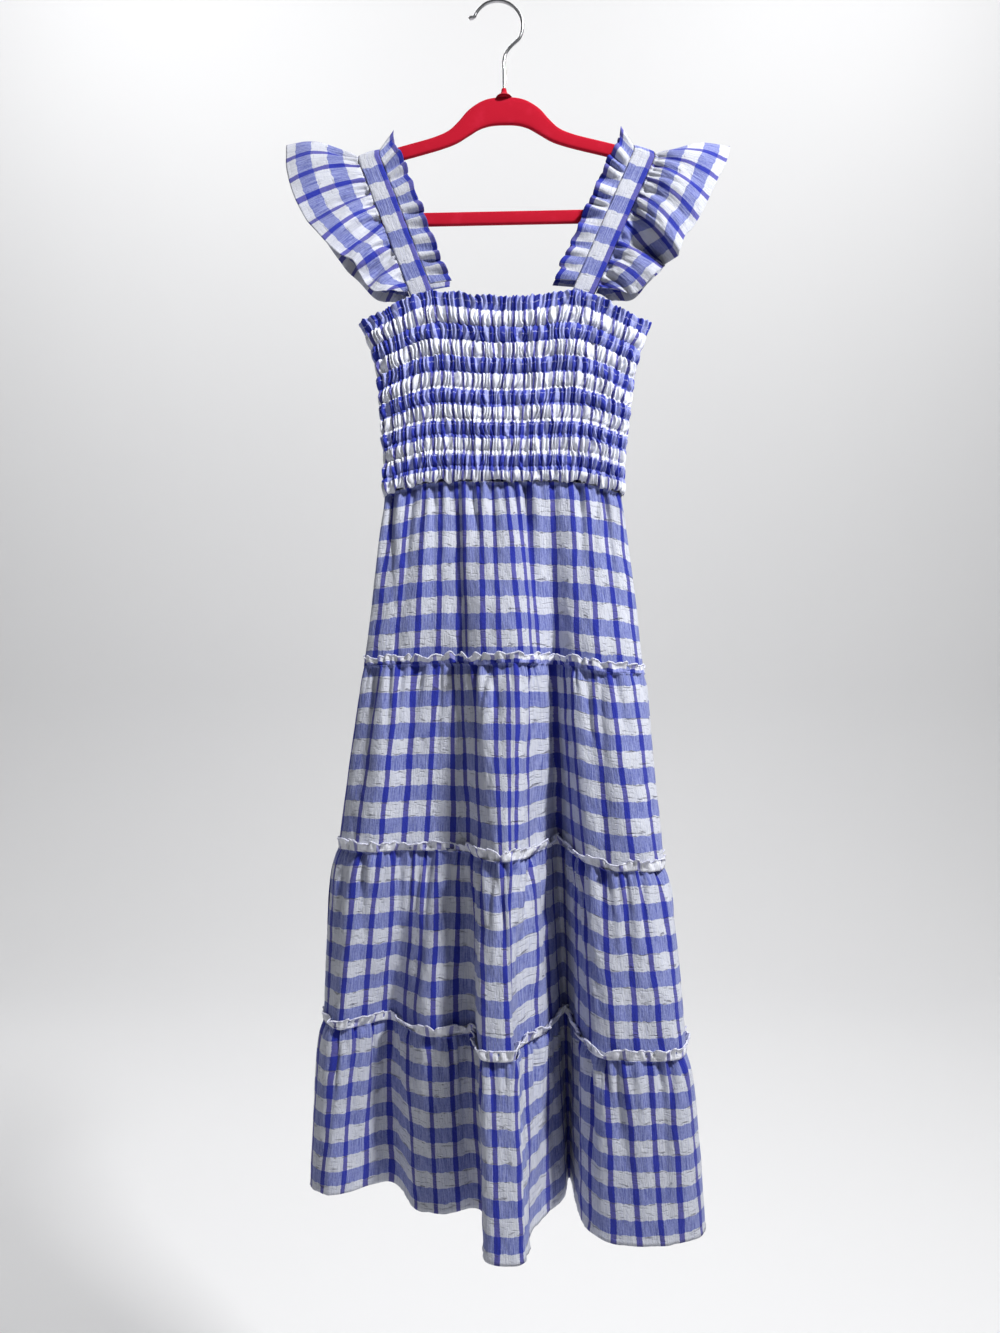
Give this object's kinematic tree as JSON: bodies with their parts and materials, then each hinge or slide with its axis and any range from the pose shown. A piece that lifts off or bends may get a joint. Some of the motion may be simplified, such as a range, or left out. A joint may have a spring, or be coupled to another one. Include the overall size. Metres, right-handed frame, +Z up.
{
  "type": "maxi dress on hanger",
  "caption": "Checked cotton maxi dress with a smocked bodice, ruffled shoulder straps and a gathered tiered skirt, hanging on a flocked hanger with a wire hook.",
  "frame": {"origin": "inner top of the hanger's wire hook, in line with its neck, where the hanger hangs", "axes": "+X to the viewer's right, +Y away from the viewer towards the dress's back, +Z up along the hanger's neck"},
  "size_m": [0.4123, 0.1615, 1.1067],
  "materials": {
    "checked_cloth": "crinkled yarn-dyed cotton, matt",
    "red_flock": "short flocked pile over plastic",
    "hook_wire": "bright plated wire"
  },
  "bodies": {
    "root": {"bodice_front": "checked_cloth", "bodice_back": "checked_cloth", "tier_1_front": "checked_cloth", "tier_1_back": "checked_cloth", "tier_2_front": "checked_cloth", "tier_2_back": "checked_cloth", "tier_3_front": "checked_cloth", "tier_3_back": "checked_cloth", "tier_4_front": "checked_cloth", "tier_4_back": "checked_cloth", "seam_frill_1_front": "checked_cloth", "seam_frill_1_back": "checked_cloth", "seam_frill_2_front": "checked_cloth", "seam_frill_2_back": "checked_cloth", "seam_frill_3_front": "checked_cloth", "seam_frill_3_back": "checked_cloth", "strap_left": "checked_cloth", "strap_right": "checked_cloth", "inner_frill_left": "checked_cloth", "inner_frill_right": "checked_cloth", "sleeve_ruffle_left": "checked_cloth", "sleeve_ruffle_right": "checked_cloth", "hanger_frame": "red_flock", "hanger_collar": "red_flock", "hanger_hook": "hook_wire"}
  },
  "joints": []
}
